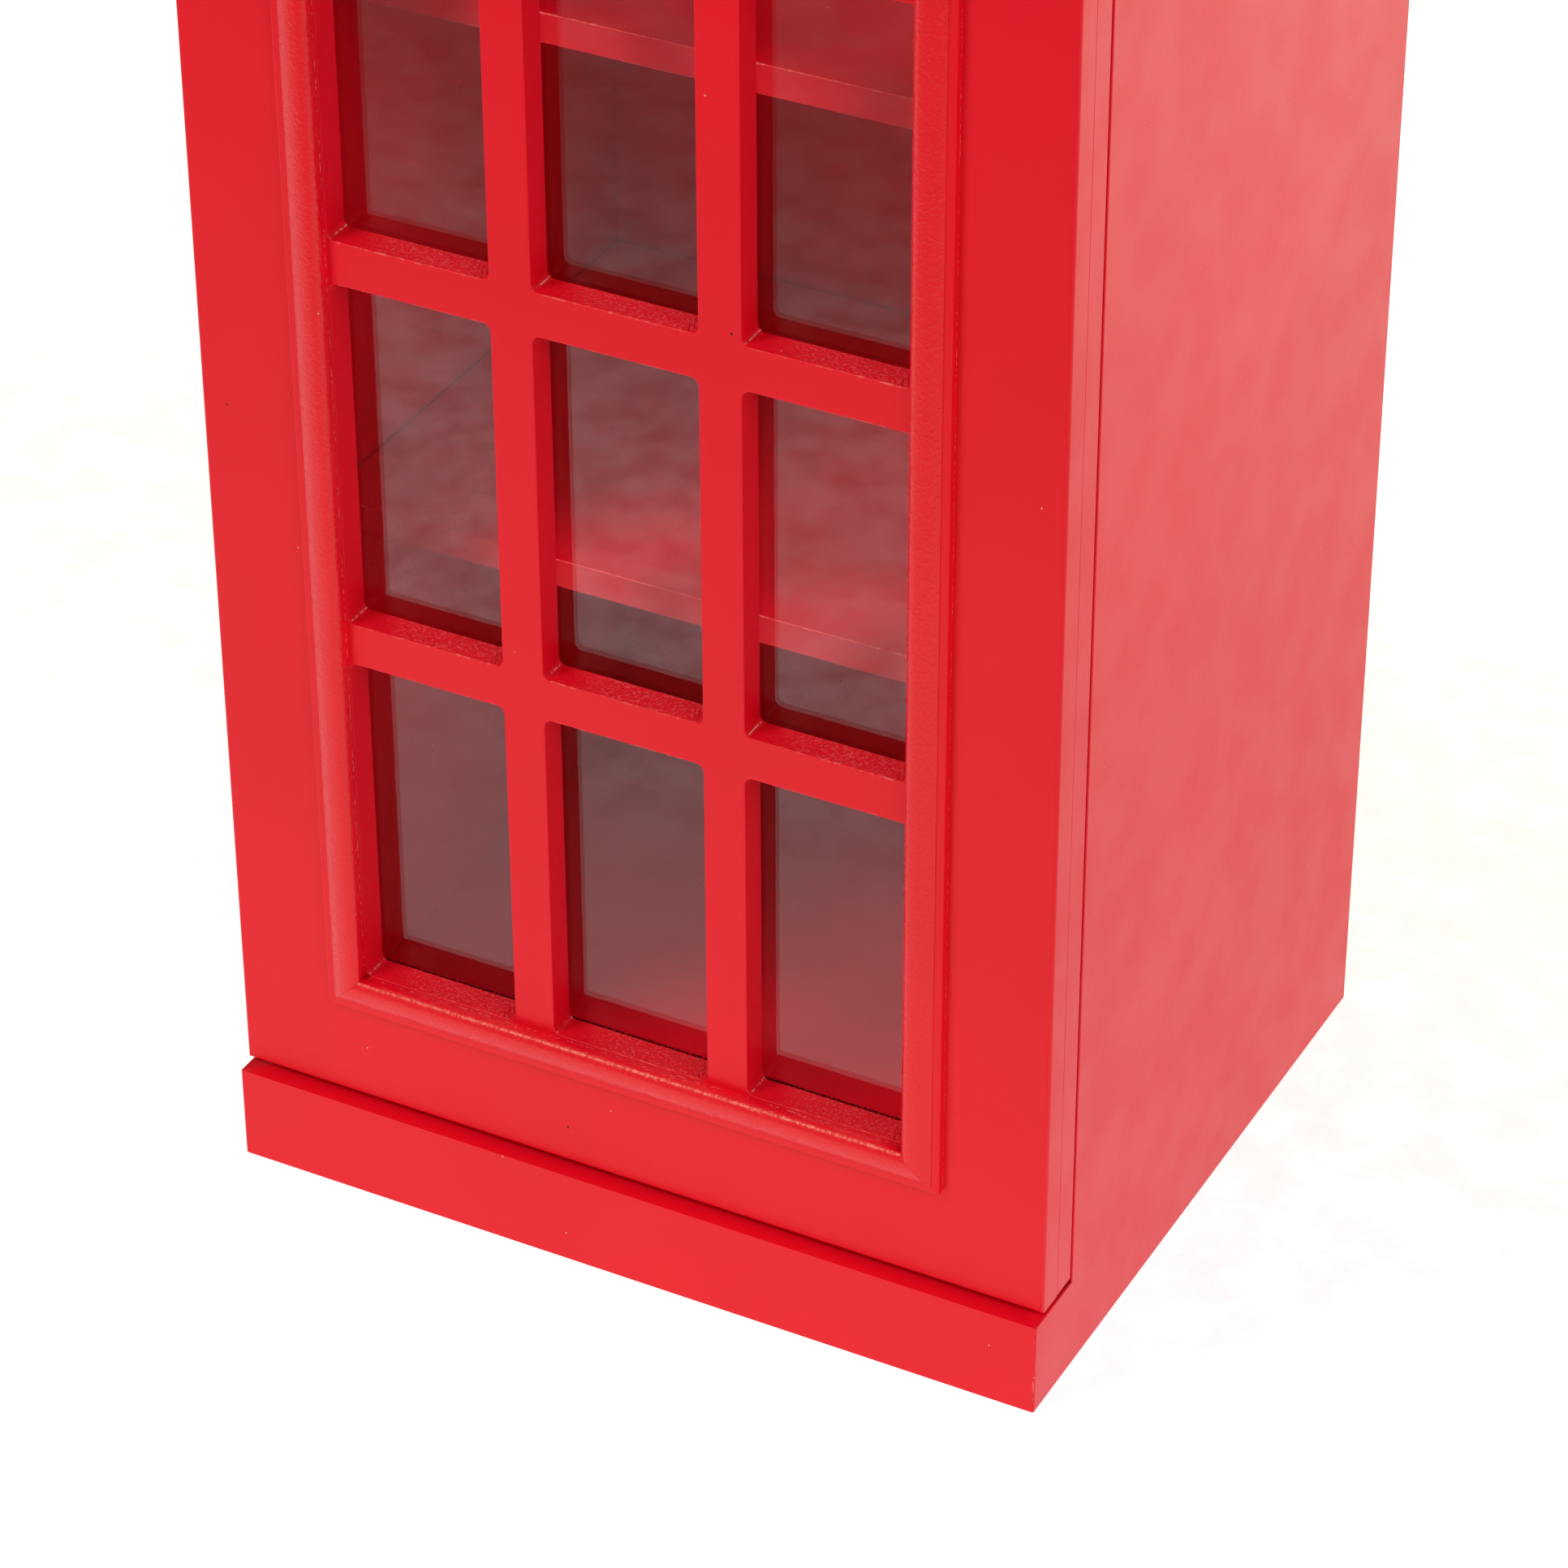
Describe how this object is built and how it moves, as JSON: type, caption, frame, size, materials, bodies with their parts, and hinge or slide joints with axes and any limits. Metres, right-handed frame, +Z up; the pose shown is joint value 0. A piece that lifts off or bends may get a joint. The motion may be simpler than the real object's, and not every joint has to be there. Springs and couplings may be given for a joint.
{
  "type": "telephone booth cabinet",
  "caption": "Tall glazed display cabinet in the shape of a red telephone booth: plinth, shelves, a hinged multi-pane door, a blank sign board and a domed roof.",
  "frame": {"origin": "centre of the whole object's footprint, on the floor", "axes": "+Z up, -Y towards the front, where the door is, and +X to the right seen from the front"},
  "size_m": [0.494, 0.408, 1.6734],
  "materials": {
    "red_paint": "satin red paint on fibreboard",
    "glass": "clear polished",
    "sign_face": "opal, blank",
    "brass": "lightly worn",
    "hinge_steel": "rolled plate",
    "screw_steel": "zinc plated",
    "bare_wood": "bare",
    "catch_plastic": "moulded",
    "magnet": "dull sintered"
  },
  "bodies": {
    "cabinet": {"back_panel": "red_paint", "back_panel_screws": "screw_steel", "cap_panel": "red_paint", "carcass_dowels": "bare_wood", "catch_case": "catch_plastic", "catch_magnet": "magnet", "catch_screws": "screw_steel", "crown_back": "red_paint", "crown_front": "red_paint", "crown_left": "red_paint", "crown_right": "red_paint", "floor_panel": "red_paint", "hinge_leaves_carcass": "hinge_steel", "hinge_pins": "hinge_steel", "hinge_screws_carcass": "screw_steel", "pediment_back": "red_paint", "pediment_front": "red_paint", "pediment_left": "red_paint", "pediment_right": "red_paint", "pediment_trim_front": "red_paint", "pediment_trim_left": "red_paint", "pediment_trim_right": "red_paint", "plinth_back": "red_paint", "plinth_blocks": "bare_wood", "plinth_front": "red_paint", "roof_dome": "red_paint", "shelf_1": "red_paint", "shelf_2": "red_paint", "shelf_3": "red_paint", "shelf_4": "red_paint", "shelf_pins": "screw_steel", "side_panel_left": "red_paint", "side_panel_right": "red_paint", "sign_board": "red_paint", "sign_frame": "red_paint", "sign_panel": "sign_face", "top_panel": "red_paint"},
    "door": {"catch_strike": "screw_steel", "door_bead_bottom": "red_paint", "door_bead_left": "red_paint", "door_bead_right": "red_paint", "door_bead_top": "red_paint", "door_glass": "glass", "door_knob": "brass", "door_panel": "red_paint", "door_rail_bottom": "red_paint", "door_rail_top": "red_paint", "door_stile_left": "red_paint", "door_stile_right": "red_paint", "glazing_beads": "red_paint", "hinge_leaves_door": "hinge_steel", "hinge_screws_door": "screw_steel", "knob_screw": "screw_steel", "strike_screw": "screw_steel"}
  },
  "joints": [
    {"name": "door_swing", "type": "hinge", "parent": "cabinet", "child": "door", "pos_m": [-0.2282, -0.1425, 0.7429], "axis": [0, 0, -1], "range_deg": [0, 115]}
  ]
}
